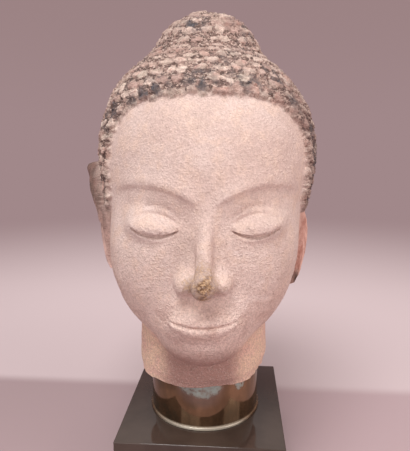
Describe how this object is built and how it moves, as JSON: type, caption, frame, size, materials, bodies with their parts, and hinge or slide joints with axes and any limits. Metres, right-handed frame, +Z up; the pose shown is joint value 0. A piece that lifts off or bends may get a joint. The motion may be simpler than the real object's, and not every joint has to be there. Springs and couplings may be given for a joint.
{
  "type": "stone buddha head",
  "caption": "Carved sandstone Buddha head with snail curls and a low ushnisha, on a short bronze collar and a square black stone plinth.",
  "frame": {"origin": "middle of the plinth's underside", "axes": "+Z up, the face towards -Y"},
  "size_m": [0.1755, 0.2093, 0.3425],
  "materials": {
    "sandstone": "worn pink-grey sandstone, matt and grainy",
    "bronze": "dark brown patinated bronze, glossy, with green patches at its top",
    "black_stone": "polished black stone"
  },
  "bodies": {
    "root": {"stone_head": "sandstone", "bronze_collar": "bronze", "plinth": "black_stone"}
  },
  "joints": []
}
